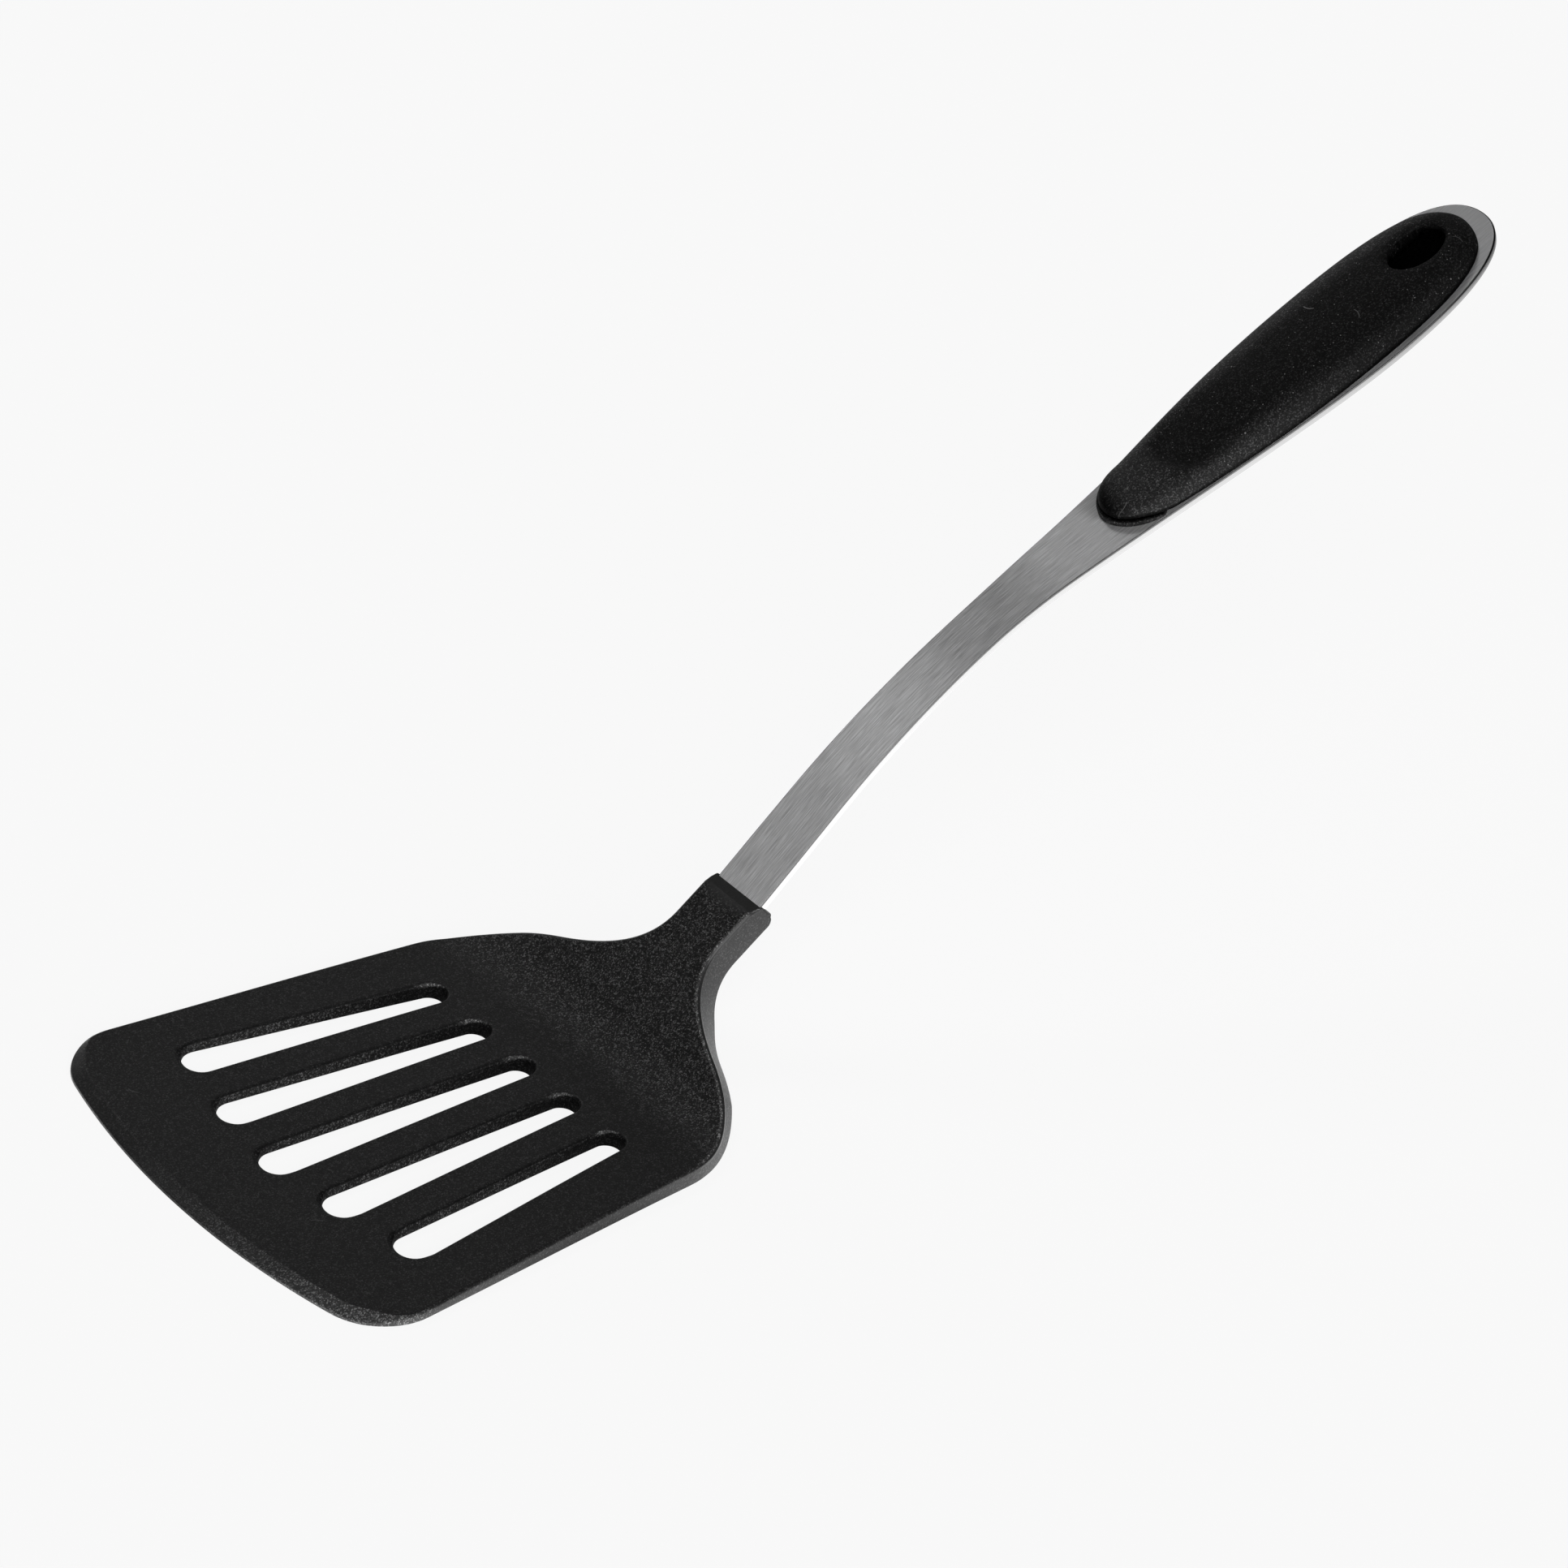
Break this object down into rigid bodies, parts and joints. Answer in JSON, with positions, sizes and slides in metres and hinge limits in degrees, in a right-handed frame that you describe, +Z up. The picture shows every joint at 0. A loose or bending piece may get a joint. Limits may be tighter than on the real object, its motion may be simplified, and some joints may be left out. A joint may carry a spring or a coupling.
{
  "type": "slotted spatula",
  "caption": "Slotted kitchen turner or spatula: a black nylon blade with tapered slots, a bent flat steel handle strip and a soft black grip with a hanging hole.",
  "frame": {"origin": "under the middle of the tool's overall length, on the plane that the blade's flat underside rests on", "axes": "+X from the blade's front edge to the end of the handle, +Y across the blade, +Z up off the blade's top face; Y = 0 is the plane of symmetry"},
  "size_m": [0.2933, 0.0956, 0.1297],
  "materials": {
    "nylon": "black nylon with a fine matt moulded grain",
    "strip_steel": "stainless steel brushed along its length, with polished edges",
    "soft_rubber": "black soft-touch elastomer, matt with a faint sheen",
    "core_plastic": "plain black moulded plastic",
    "screw_steel": "bright plated steel"
  },
  "bodies": {
    "root": {"turner_blade": "nylon", "handle_strip": "strip_steel", "soft_grip": "soft_rubber", "grip_core": "core_plastic", "hanging_bush": "core_plastic", "grip_screw_front": "screw_steel", "grip_screw_rear": "screw_steel"}
  },
  "joints": []
}
